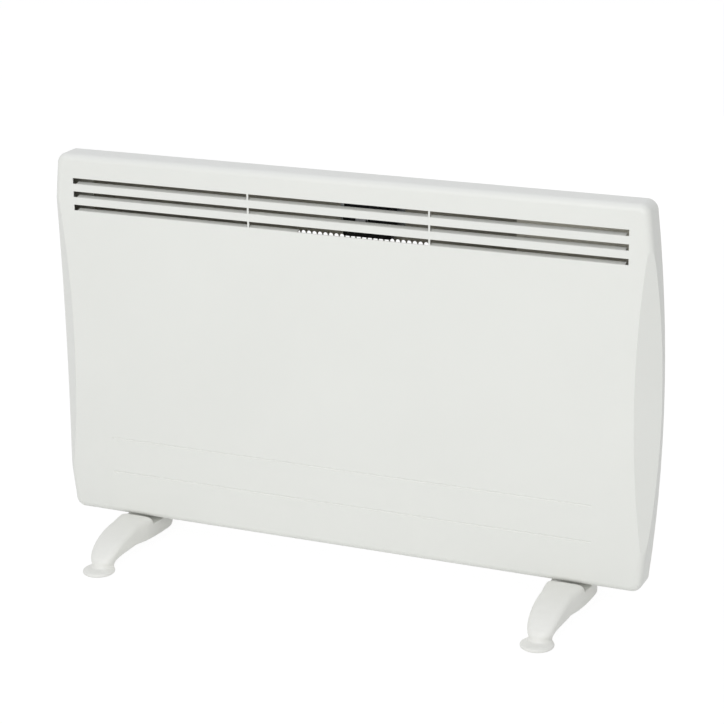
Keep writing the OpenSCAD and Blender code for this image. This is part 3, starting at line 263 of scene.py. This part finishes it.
# One finish for each material slot of the CAD
finishes = {
    "cover_paint": powderCoat("SatinWhitePowderCoat", whitePaint),
    "casing_paint": powderCoat("SatinWhiteCasingCoat",
                               dict(whitePaint, colour="#E2E3DF", shade="#DCDDD9")),
    "housing_sheet": powderCoat("StoneGreyCoatedSheet",
                                dict(whitePaint, colour="#EEEADB", shade="#E8E4D5")),
    "fascia_plastic": mouldedPlastic("MattWhiteAbsFascia",
                                     dict(mouldLook, colour="#DEDFDA", shade="#D8D9D4")),
    "foot_plastic": mouldedPlastic("SatinWhitePolypropylene",
                                   dict(mouldLook, colour="#ECECE7", shade="#E7E7E2", grain=0.9,
                                        depth=0.014, Roughness=0.45, IOR=1.49)),
    "knob_plastic": pointerPlastic("SatinWhiteAbsKnob",
                                   dict(mouldLook, colour="#E0E1DD", shade="#DADBD6", depth=0.008,
                                        Roughness=0.32, pointer="#5E6064", groove=1.5, sunk=0.2)),
    "rocker_plastic": mouldedPlastic("GlossBlackNylonRocker",
                                     dict(mouldLook, colour="#17181A", shade="#1C1D1F",
                                          depth=0.006, Roughness=0.24)),
    "switch_plastic": mouldedPlastic("BlackNylonSwitchCase",
                                     dict(mouldLook, colour="#141516", shade="#1B1C1D")),
    "black_moulding": mouldedPlastic("BlackPhenolicMoulding",
                                     dict(mouldLook, colour="#050505", shade="#0A0A0A",
                                          Roughness=0.7, IOR=1.5)),
    "terminal_plastic": mouldedPlastic("IvoryPolyamideTerminal",
                                       dict(mouldLook, colour="#E6E1CF", shade="#DDD7C4")),
    "wire_insulation": mouldedPlastic("BrownPvcInsulation",
                                      dict(mouldLook, colour="#4A2C1C", shade="#412618",
                                           depth=0.01, Roughness=0.4)),
    "gland_nylon": mouldedPlastic("BlackNylonGland",
                                  dict(mouldLook, colour="#161718", shade="#1D1E1F")),
    "lens_plastic": mouldedPlastic("AmberPolycarbonateLens",
                                   dict(mouldLook, colour="#D8561A", shade="#C94A12", grain=2.0,
                                        depth=0.004, Roughness=0.14, IOR=1.58)),
    "insulator_ceramic": mouldedPlastic("GlazedSteatite",
                                        dict(mouldLook, colour="#EAE6DA", shade="#E2DDCF",
                                             grain=3.0, depth=0.01, Roughness=0.16, IOR=1.6)),
    "galvanised_sheet": galvanisedSheet("HotDipGalvanisedSheet", zincLook),
    "element_sheath": bareMetal("HeatTintedSteelSheath",
                                dict(metalLook, colour="#5A554E", shade="#6C675F", grain=1.0,
                                     patch=25, depth=0.02, Roughness=0.45)),
    "zinc_steel": bareMetal("BrightZincPlate",
                            dict(metalLook, colour="#C4C8CC", shade="#B6BABE", Roughness=0.3)),
    "cap_aluminium": bareMetal("PressedAluminiumCap",
                               dict(metalLook, colour="#C9CACC", shade="#BFC0C2", patch=8,
                                    Roughness=0.32)),
    "sensor_copper": bareMetal("DrawnCopperTube",
                               dict(metalLook, colour="#B87452", shade="#A86544", grain=0.5,
                                    patch=14, draw=(0.1, 1, 1), Roughness=0.3)),
    "stud_brass": bareMetal("TurnedBrassStud",
                            dict(metalLook, colour="#C8A45C", shade="#B9944C", grain=0.5,
                                 Roughness=0.28)),
    "ceramic_body": firedClay("UnglazedFiredClay", clayLook),
    "lead_sleeve": rubberSkin("WhiteSiliconeSleeve",
                              dict(rubberLook, colour="#DCDCD8", shade="#D2D2CC", Roughness=0.55)),
    "grommet_rubber": rubberSkin("BlackRubberGrommet",
                                 dict(rubberLook, colour="#151515", shade="#222221",
                                      Roughness=0.7)),
    "glide_rubber": rubberSkin("PaleGreyRubberGlide",
                               dict(rubberLook, colour="#CDCDC9", shade="#C2C2BD",
                                    Roughness=0.65)),
}
# Painted shade for the insides of the cover and the casing, a little lighter for the casing
coverInsideShade = streakedFilm("GreyInsideShadeFilm", shadeFilmLook)
trayInsideShade = streakedFilm("StoneInsideShadeFilm",
                          dict(shadeFilmLook, colour="#D2CEC0", shade="#CAC6B8"))
scaleInk = streakedFilm("GreyScreenPrintInk",
                        dict(shadeFilmLook, colour="#6A6C6E", shade="#626466", streak=4, drain=1.0,
                             grit=0.4, depth=0.004))
print("stage 2: materials made")


# A piece made from CAD nodes takes their body, finish and slot, and stands for them
def standFor(obj, sources):
    first = sources[0]
    if not obj.data.materials:
        obj.data.materials.append(finishes[slotOf[first]])
    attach(obj, nodes[first]["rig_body"])
    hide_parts(*sources)
    return obj


weldGap = 0.004  # in millimetres: corners of the CAD's triangles that lie closer become one
flatAngle = math.radians(0.6)  # faces that differ by less become one
easedAngle = math.radians(35)  # edges that turn more are rounded
grownAngle = math.radians(40)  # edges that turn more stay sharp on grown pieces


# The CAD's loose triangles joined into one skin, with flat stretches as single faces where asked
def joinedMesh(name, sources, flats=False, weld=weldGap):
    work = bmesh.new()
    for source in sources:
        work.from_mesh(nodes[source].data)
    bmesh.ops.remove_doubles(work, verts=work.verts, dist=weld * mm)
    bmesh.ops.dissolve_degenerate(work, edges=work.edges, dist=weld / 2 * mm)
    if flats:
        bmesh.ops.dissolve_limit(work, angle_limit=flatAngle, verts=work.verts, edges=work.edges)
    mesh = bpy.data.meshes.new(name)
    work.to_mesh(mesh)
    work.free()
    return mesh


# Sheet metal, wires and turned parts: smooth round faces up to a sharp angle
def smoothPiece(name, sources, sharp=32, weld=weldGap):
    mesh = joinedMesh(name, sources, weld=weld)
    mesh.shade_smooth()
    mesh.set_sharp_from_angle(angle=math.radians(sharp))
    obj = linked(name, mesh)
    even = obj.modifiers.new("evenNormals", "WEIGHTED_NORMAL")
    even.keep_sharp = True
    even.weight = 100  # only a face's size counts
    return standFor(obj, sources)


# Parts with straight edges that a tool or mould leaves slightly round
def easedPiece(name, sources, edge):
    mesh = joinedMesh(name, sources, flats=True)
    mesh.shade_smooth()
    obj = linked(name, mesh)
    ease = obj.modifiers.new("easedEdges", "BEVEL")
    ease.width = edge * mm
    ease.segments = 2
    ease.limit_method = "ANGLE"
    ease.angle_limit = easedAngle
    ease.harden_normals = True
    return standFor(obj, sources)


# Mouldings whose edges and inner corners all flow: a fine even skin, relaxed a little
def flowingPiece(name, sources, grid, rounds):
    obj = linked(name, joinedMesh(name, sources))
    skin = obj.modifiers.new("evenSkin", "REMESH")
    skin.mode = "VOXEL"
    skin.voxel_size = grid * mm
    skin.use_smooth_shade = True
    relax = obj.modifiers.new("relaxedEdges", "SMOOTH")
    relax.factor = 0.5
    relax.iterations = rounds
    return standFor(obj, sources)


skinShare = 0.98  # of the sheet's thickness, so that the limit lies just outside the inner skin


# Faces of a pressing's inner skin, which look towards its middle, take a darker finish: painted
# shade, standing for the shadow inside the box. The outside keeps its paint
def shadeInside(obj, low, high, sheet, shadeFinish):
    middle = (low + high) / 2
    inset = Vector((sheet, sheet, sheet)) * skinShare
    obj.data.materials.append(shadeFinish)
    for face in obj.data.polygons:
        within = all(a < c < b for a, c, b in zip(low + inset, face.center, high - inset))
        if within and face.normal.dot(middle - face.center) > 0:
            face.material_index = 1


coverLook = {"sheet": 1.2, "sharp": 15, "weld": 0.08}
cover = smoothPiece("pressedCover", ["front_panel"], coverLook["sharp"], coverLook["weld"])
# Painted shade on the cover's inner skin
shadeInside(cover, *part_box("front_panel"), coverLook["sheet"] * mm, coverInsideShade)

trayLook = {"sheet": 1.0, "flange": 8.0, "sharp": 32}
tray = smoothPiece("rearTray", ["rear_casing"], trayLook["sharp"])
trayLow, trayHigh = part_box("rear_casing")
flange = Vector((trayLook["flange"], 0, trayLook["flange"])) * mm
# Painted shade on the casing's inner skin
shadeInside(tray, trayLow + flange, trayHigh - flange, trayLook["sheet"] * mm, trayInsideShade)
print("stage 3: cover and casing")

footLook = {"grid": 0.8, "rounds": 7}
for side in ("left", "right"):
    flowingPiece(side + "Foot", ["foot_" + side], footLook["grid"], footLook["rounds"])
glideLook = {"edge": 0.4}
for corner in ("front_left", "front_right", "rear_left", "rear_right"):
    easedPiece(corner.replace("_", "") + "Glide", ["glide_" + corner], glideLook["edge"])
print("stage 4: feet and glides")

knobLook = {"grid": 0.22, "rounds": 3}
flowingPiece("gripKnob", ["thermostat_knob"], knobLook["grid"], knobLook["rounds"])
rockerLook = {"grid": 0.2, "rounds": 3}
flowingPiece("upperRocker", ["rocker_1"], rockerLook["grid"], rockerLook["rounds"])
flowingPiece("lowerRocker", ["rocker_2"], rockerLook["grid"], rockerLook["rounds"])
panelLook = {"fasciaEdge": 0.5, "caseEdge": 0.3}
easedPiece("sideFascia", ["control_fascia"], panelLook["fasciaEdge"])
easedPiece("upperSwitchCase", ["switch_body_1"], panelLook["caseEdge"])
easedPiece("lowerSwitchCase", ["switch_body_2"], panelLook["caseEdge"])
smoothPiece("pilotLens", ["pilot_lens"])
smoothPiece("mainsGland", ["cable_gland"])
print("stage 5: controls")


# A Geometry Nodes tree with named inputs, which starts from a piece's own points
def startTree(name, sizes, kinds):
    tree = bpy.data.node_groups.new(name, "GeometryNodeTree")
    tree.interface.new_socket("Geometry", in_out="OUTPUT", socket_type="NodeSocketGeometry")
    tree.interface.new_socket("Geometry", in_out="INPUT", socket_type="NodeSocketGeometry")
    for size in sizes:
        tree.interface.new_socket(size, in_out="INPUT", socket_type="NodeSocketFloat")
    for title, kind in kinds.items():
        tree.interface.new_socket(title, in_out="INPUT", socket_type="NodeSocket" + kind)
    return tree, addNode(tree, "NodeGroupInput").outputs


def endTree(tree, given, instances):
    real = addNode(tree, "GeometryNodeRealizeInstances", None, {"Geometry": instances})
    dressed = addNode(tree, "GeometryNodeSetMaterial", None,
                      {"Geometry": real.outputs[0], "Material": given["Finish"]})
    addNode(tree, "NodeGroupOutput", None, {"Geometry": dressed.outputs[0]})


# Grows a tree on given points, and keeps the result as a plain mesh
def grown(name, tree, values, points):
    mesh = bpy.data.meshes.new(name)
    mesh.from_pydata(points, [], [])
    obj = linked(name, mesh)
    modifier = obj.modifiers.new(tree.name, "NODES")
    modifier.node_group = tree
    for item in tree.interface.items_tree:
        if item.in_out == "INPUT" and item.name in values:
            modifier[item.identifier] = values[item.name]
    graph = bpy.context.evaluated_depsgraph_get()
    obj.data = bpy.data.meshes.new_from_object(obj.evaluated_get(graph), depsgraph=graph)
    obj.modifiers.remove(modifier)
    obj.data.shade_smooth()
    obj.data.set_sharp_from_angle(angle=grownAngle)
    return obj


def vector(tree, **parts):
    node = addNode(tree, "ShaderNodeCombineXYZ")
    for axis, value in parts.items():
        feed(tree, node.inputs[axis], value)
    return node.outputs[0]


# X, Y and Z of the points that a node works on
def ownPlace(tree):
    spot = addNode(tree, "GeometryNodeInputPosition").outputs[0]
    return addNode(tree, "ShaderNodeSeparateXYZ", None, {"Vector": spot}).outputs


# A recess wall's foot and rim, as shares of the arm's length and of its width
armEnds = (0.42, 0.5)
armSides = (0.35, 0.65)


# One arm of a cross recess: 1 where it is deep, falling to 0 over its sloping walls
def crossArm(tree, along, across, length, width):
    walls = []
    for place, size, (foot, rim) in ((along, length, armEnds), (across, width, armSides)):
        wall = addNode(tree, "ShaderNodeMapRange",
                       {"interpolation_type": "SMOOTHSTEP", "To Min": 1.0, "To Max": 0.0},
                       {"Value": place, "From Min": calc(tree, "MULTIPLY", size, foot),
                        "From Max": calc(tree, "MULTIPLY", size, rim)})
        walls.append(wall.outputs[0])
    return calc(tree, "MULTIPLY", *walls)


screwSizes = ["Head Radius", "Rim Height", "Dome Height", "Cross Length", "Cross Width",
              "Cross Depth", "Shank Radius", "Shank Length"]
headFaces = {"Vertices": 56, "Side Segments": 2, "Fill Segments": 14}
crownPower = 3.0  # the higher, the flatter the middle of the dome
topShare = 0.9  # points above this share of the rim are the head's top


# Cross-head screws: a domed head whose recess is pressed in, on a plain shank, turned by chance
def screwTree():
    tree, given = startTree("crossHeadScrews", screwSizes,
                            {"Facing": "Vector", "Seed": "Int", "Finish": "Material"})
    disc = addNode(tree, "GeometryNodeMeshCylinder", headFaces,
                   {"Radius": given["Head Radius"], "Depth": given["Rim Height"]})
    rise = vector(tree, Z=calc(tree, "DIVIDE", given["Rim Height"], 2.0))
    stood = addNode(tree, "GeometryNodeTransform", None,
                    {"Geometry": disc.outputs[0], "Translation": rise})
    spot = ownPlace(tree)
    absX, absY = calc(tree, "ABSOLUTE", spot["X"]), calc(tree, "ABSOLUTE", spot["Y"])
    squares = calc(tree, "ADD", calc(tree, "POWER", absX, 2.0), calc(tree, "POWER", absY, 2.0))
    radius = calc(tree, "SQRT", squares)
    part = calc(tree, "MINIMUM", calc(tree, "DIVIDE", radius, given["Head Radius"]), 1.0)
    crown = calc(tree, "SQRT", calc(tree, "SUBTRACT", 1.0, calc(tree, "POWER", part, crownPower)))
    arms = calc(tree, "MAXIMUM",
                crossArm(tree, absX, absY, given["Cross Length"], given["Cross Width"]),
                crossArm(tree, absY, absX, given["Cross Length"], given["Cross Width"]))
    change = calc(tree, "SUBTRACT", calc(tree, "MULTIPLY", crown, given["Dome Height"]),
                  calc(tree, "MULTIPLY", arms, given["Cross Depth"]))
    onTop = calc(tree, "GREATER_THAN", spot["Z"],
                 calc(tree, "MULTIPLY", given["Rim Height"], topShare))
    head = addNode(tree, "GeometryNodeSetPosition", None,
                   {"Geometry": stood.outputs[0],
                    "Offset": vector(tree, Z=calc(tree, "MULTIPLY", change, onTop))})
    rod = addNode(tree, "GeometryNodeMeshCylinder", {"Vertices": 32},
                  {"Radius": given["Shank Radius"], "Depth": given["Shank Length"]})
    sink = vector(tree, Z=calc(tree, "DIVIDE", given["Shank Length"], -2.0))
    shank = addNode(tree, "GeometryNodeTransform", None,
                    {"Geometry": rod.outputs[0], "Translation": sink})
    screw = addNode(tree, "GeometryNodeJoinGeometry")
    for piece in (shank, head):
        tree.links.new(piece.outputs[0], screw.inputs[0])
    facing = addNode(tree, "FunctionNodeEulerToRotation", None, {0: given["Facing"]})
    twist = addNode(tree, "FunctionNodeRandomValue", {"data_type": "FLOAT", 3: math.tau},
                    {"Seed": given["Seed"]})
    spin = addNode(tree, "FunctionNodeAxisAngleToRotation", {"Axis": (0, 0, 1)},
                   {"Angle": twist.outputs[1]})
    turned = addNode(tree, "FunctionNodeRotateRotation", {"rotation_space": "LOCAL"},
                     {0: facing.outputs[0], 1: spin.outputs[0]})
    placed = addNode(tree, "GeometryNodeInstanceOnPoints", None,
                     {"Points": given["Geometry"], "Instance": screw.outputs[0],
                      "Rotation": turned.outputs[0]})
    endTree(tree, given, placed.outputs[0])
    return tree


# Lowest and highest corners of each separate solid in a CAD node
def solidBoxes(source):
    work = bmesh.new()
    work.from_mesh(nodes[source].data)
    bmesh.ops.remove_doubles(work, verts=work.verts, dist=weldGap * mm)
    left, boxes = set(work.verts), []
    while left:
        todo, spots = [left.pop()], []
        while todo:
            vert = todo.pop()
            spots.append(vert.co.copy())
            near = [edge.other_vert(vert) for edge in vert.link_edges]
            todo += [other for other in near if other in left]
            left.difference_update(near)
        boxes.append([Vector([pick(spot[i] for spot in spots) for i in range(3)])
                      for pick in (min, max)])
    work.free()
    return sorted(boxes, key=lambda box: tuple(box[0]))  # as a set has no order of its own


backward = (-math.pi / 2, 0, 0)
downward = (math.pi, 0, 0)
screwLooks = {
    "casingScrews": {"node": "casing_screws", "Facing": backward, "Seed": 3, "Head Radius": 3,
                     "Rim Height": 1, "Dome Height": 1.2, "Cross Length": 3.6, "Cross Width": 0.9,
                     "Cross Depth": 1.3, "Shank Radius": 1.5, "Shank Length": 6},
    "rearScrews": {"node": "rear_screws", "Facing": backward, "Seed": 5, "Head Radius": 3.8,
                   "Rim Height": 1, "Dome Height": 1.2, "Cross Length": 4.2, "Cross Width": 1,
                   "Cross Depth": 1.4, "Shank Radius": 2, "Shank Length": 5},
    "footScrews": {"node": "foot_screws", "Facing": downward, "Seed": 8, "Head Radius": 4.6,
                   "Rim Height": 2.3, "Dome Height": 1.2, "Cross Length": 5, "Cross Width": 1.1,
                   "Cross Depth": 1.7, "Shank Radius": 2.5, "Shank Length": 29},
}


# Screws take the places of the CAD's plain ones, with the tops of their heads level with theirs
def driveScrews(name, look, tree):
    values = {title: look[title] * mm for title in screwSizes}
    head = values["Rim Height"] + values["Dome Height"]
    seats = []
    for low, high in solidBoxes(look["node"]):
        seat = (low + high) / 2
        if look["Facing"] == downward:
            seat.z = low.z + head
        else:
            seat.y = high.y - head
        seats.append(seat)
    values.update({"Facing": look["Facing"], "Seed": look["Seed"],
                   "Finish": finishes[slotOf[look["node"]]]})
    standFor(grown(name, tree, values, seats), [look["node"]])


crossHeads = screwTree()
for name, look in screwLooks.items():
    driveScrews(name, look, crossHeads)
print("stage 6: screws")

dialSizes = ["Sweep", "Ring Radius", "Tick Length", "Tick Width", "Ink Height", "Half Panel"]
firstTick = 0.5  # as a share of the last tick's length


# The scale round the knob: ticks grow towards the hot end, and none stand past the panel's sides
def dialTree():
    tree, given = startTree("dialScale", dialSizes, {"Count": "Int", "Finish": "Material"})
    row = addNode(tree, "GeometryNodeMeshLine", None, {"Count": given["Count"]})
    step = calc(tree, "DIVIDE", addNode(tree, "GeometryNodeInputIndex").outputs[0],
                calc(tree, "SUBTRACT", given["Count"], 1.0))
    angle = calc(tree, "MULTIPLY", calc(tree, "SUBTRACT", step, 0.5), given["Sweep"])
    across = calc(tree, "MULTIPLY", calc(tree, "SINE", angle), given["Ring Radius"])
    upward = calc(tree, "MULTIPLY", calc(tree, "COSINE", angle), given["Ring Radius"])
    ring = addNode(tree, "GeometryNodeSetPosition", None,
                   {"Geometry": row.outputs[0], "Position": vector(tree, Y=across, Z=upward)})
    beyond = calc(tree, "GREATER_THAN", calc(tree, "ABSOLUTE", across), given["Half Panel"])
    kept = addNode(tree, "GeometryNodeDeleteGeometry", None,
                   {"Geometry": ring.outputs[0], "Selection": beyond})
    # The angle is taken again from where a tick stands, as deleting renumbers the points
    stand = ownPlace(tree)
    lean = calc(tree, "ARCTAN2", stand["Y"], stand["Z"])
    share = calc(tree, "ADD", calc(tree, "DIVIDE", lean, given["Sweep"]), 0.5)
    longer = calc(tree, "ADD", calc(tree, "MULTIPLY", share, 1.0 - firstTick), firstTick)
    size = vector(tree, X=given["Ink Height"], Y=given["Tick Width"], Z=given["Tick Length"])
    tick = addNode(tree, "GeometryNodeMeshCube", None, {"Size": size})
    turn = addNode(tree, "FunctionNodeEulerToRotation", None,
                   {0: vector(tree, X=calc(tree, "MULTIPLY", lean, -1.0))})
    ticks = addNode(tree, "GeometryNodeInstanceOnPoints", None,
                    {"Points": kept.outputs[0], "Instance": tick.outputs[0],
                     "Rotation": turn.outputs[0], "Scale": vector(tree, X=1.0, Y=1.0, Z=longer)})
    dials = addNode(tree, "GeometryNodeInstanceOnPoints", None,
                    {"Points": given["Geometry"], "Instance": ticks.outputs[0]})
    endTree(tree, given, dials.outputs[0])
    return tree


dialLook = {"Count": 13, "Sweep": math.radians(300), "Ring Radius": 16.4 * mm,
            "Tick Length": 3 * mm, "Tick Width": 0.6 * mm, "Ink Height": 0.06 * mm,
            "Half Panel": 13.6 * mm}
inkLift = 0.02 * mm  # less than half of the ink's height, so that the ink meets the fascia
knobLow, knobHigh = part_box("thermostat_knob")
dialCentre = (knobLow + knobHigh) / 2
dialCentre.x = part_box("control_fascia")[1].x + inkLift
dialTicks = grown("dialTicks", dialTree(), dict(dialLook, Finish=scaleInk), [dialCentre])
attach(dialTicks, "radiator")
print("stage 7: dial")

# The core and its fittings, most of which only show through the slots and vents
blockLook = {"count": 6, "edge": 0.6}
for number in range(1, blockLook["count"] + 1):
    easedPiece(f"clayBlock{number}", [f"ceramic_block_{number}"], blockLook["edge"])
inside = {
    "heatShield": "heat_shield", "upperRail": "core_rail_top", "lowerRail": "core_rail_bottom",
    "leftBracket": "core_bracket_left", "rightBracket": "core_bracket_right",
    "lowerElement": "heating_element_lower", "upperElement": "heating_element_upper",
    "endInsulators": "element_insulators", "endTerminals": "element_terminals",
    "elementLeads": "element_leads", "cutoutBlock": "thermal_cutout",
    "cutoutPlate": "cutout_bracket", "sensingDisc": "cutout_cap", "wiringBox": "control_housing",
    "leadGrommets": "lead_grommets", "thermostatCase": "thermostat_body",
    "knobShaft": "thermostat_shaft", "sensorBulb": "thermostat_sensor",
    "terminalBlock": "terminal_block", "controlLeads": "control_leads", "earthStud": "earth_stud",
    "glandNut": "gland_nut", "footNuts": "foot_nuts",
}
for name, source in inside.items():
    smoothPiece(name, [source])
print("stage 8: core and fittings")

stageLook = {"floorSize": 12.0, "white": "#FFFFFF", "floorShade": "#F4F4F2", "show": 0.9,
             "glow": 1.06, "ambient": 0.55, "sky": "#FCFDFF"}


def startStage(data):
    data.use_nodes = True
    data.node_tree.nodes.clear()
    return data.node_tree


# 1 for rays from the camera, and for those that leave a shiny or clear piece
def seenDirectly(tree):
    path = addNode(tree, "ShaderNodeLightPath").outputs
    through = calc(tree, "MAXIMUM", path["Is Camera Ray"], path["Is Transmission Ray"])
    return calc(tree, "MAXIMUM", through, path["Is Glossy Ray"])


# The floor looks nearly white, yet keeps a share of its plain self and so the object's shadow
def makeFloor():
    half = stageLook["floorSize"] / 2
    mesh = bpy.data.meshes.new("studioFloor")
    mesh.from_pydata([(-half, -half, 0), (half, -half, 0), (half, half, 0), (-half, half, 0)], [],
                     [(0, 1, 2, 3)])
    floor = linked("studioFloor", mesh)
    material = bpy.data.materials.new("PaleStudioFloor")
    tree = startStage(material)
    plain = addNode(tree, "ShaderNodeBsdfDiffuse", {"Color": toLinear(stageLook["floorShade"])})
    glow = addNode(tree, "ShaderNodeEmission", {"Color": toLinear(stageLook["white"]),
                                                "Strength": stageLook["glow"]})
    mix = addNode(tree, "ShaderNodeMixShader", None,
                  {0: calc(tree, "MULTIPLY", seenDirectly(tree), stageLook["show"]),
                   1: plain.outputs[0], 2: glow.outputs[0]})
    addNode(tree, "ShaderNodeOutputMaterial", None, {"Surface": mix.outputs[0]})
    mesh.materials.append(material)


def makeWorld():
    world = bpy.data.worlds.new("softStudio")
    bpy.context.scene.world = world
    tree = startStage(world)
    ambient = addNode(tree, "ShaderNodeBackground", {"Color": toLinear(stageLook["sky"]),
                                                     "Strength": stageLook["ambient"]})
    white = addNode(tree, "ShaderNodeBackground", {"Color": toLinear(stageLook["white"]),
                                                   "Strength": 1.0})
    mix = addNode(tree, "ShaderNodeMixShader", None,
                  {0: seenDirectly(tree), 1: ambient.outputs[0], 2: white.outputs[0]})
    addNode(tree, "ShaderNodeOutputWorld", None, {"Surface": mix.outputs[0]})


# In metres and watts. Every lamp looks at the same place
lampAim = Vector((0, 0, 0.25))
lampLooks = {
    "keyLamp": {"at": (0.3, -2.8, 1.85), "size": 2.2, "power": 44, "colour": "#FFFFFF"},
    "topLamp": {"at": (-0.4, 0.2, 2.7), "size": 2.2, "power": 6, "colour": "#E4E4FF"},
    "backLamp": {"at": (-0.4, 2.6, 0.25), "size": 0.44, "power": 11, "colour": "#FFFFFF"},
}


def makeLamps():
    for name, look in lampLooks.items():
        data = bpy.data.lights.new(name, "AREA")
        data.size = look["size"]
        data.energy = look["power"]
        data.color = toLinear(look["colour"])[:3]
        place = Vector(look["at"])
        turned = (place - lampAim).normalized().to_track_quat("Z", "Y").to_matrix().to_4x4()
        linked(name, data).matrix_world = Matrix.Translation(place) @ turned


# The photograph's view. Turn, height and tip are in degrees, and the rest in millimetres
cameraLook = {"turn": 23.86, "height": 18.18, "tip": -0.88, "aim": (28.03, -36.0, 268.93),
              "away": 2561.5, "lens": 112.28, "sensor": 36}


def makeCamera():
    turn, height, tip = (math.radians(cameraLook[key]) for key in ("turn", "height", "tip"))
    back = Vector((math.sin(turn) * math.cos(height), -math.cos(turn) * math.cos(height),
                   math.sin(height)))
    right = Vector((math.cos(turn), math.sin(turn), 0))
    up = back.cross(right)
    side = right * math.cos(tip) + up * math.sin(tip)
    top = up * math.cos(tip) - right * math.sin(tip)
    place = Vector(cameraLook["aim"]) * mm + back * cameraLook["away"] * mm
    turned = Matrix((side, top, back)).transposed().to_4x4()
    data = bpy.data.cameras.new("photoCamera")
    data.lens = cameraLook["lens"]
    data.sensor_width = cameraLook["sensor"]
    data.sensor_fit = "HORIZONTAL"
    camera = linked("photoCamera", data)
    camera.matrix_world = Matrix.Translation(place) @ turned
    bpy.context.scene.camera = camera


makeFloor()
makeWorld()
makeLamps()
makeCamera()
bpy.context.scene.view_settings.view_transform = "Standard"
print("stage 9: floor, lamps and camera")
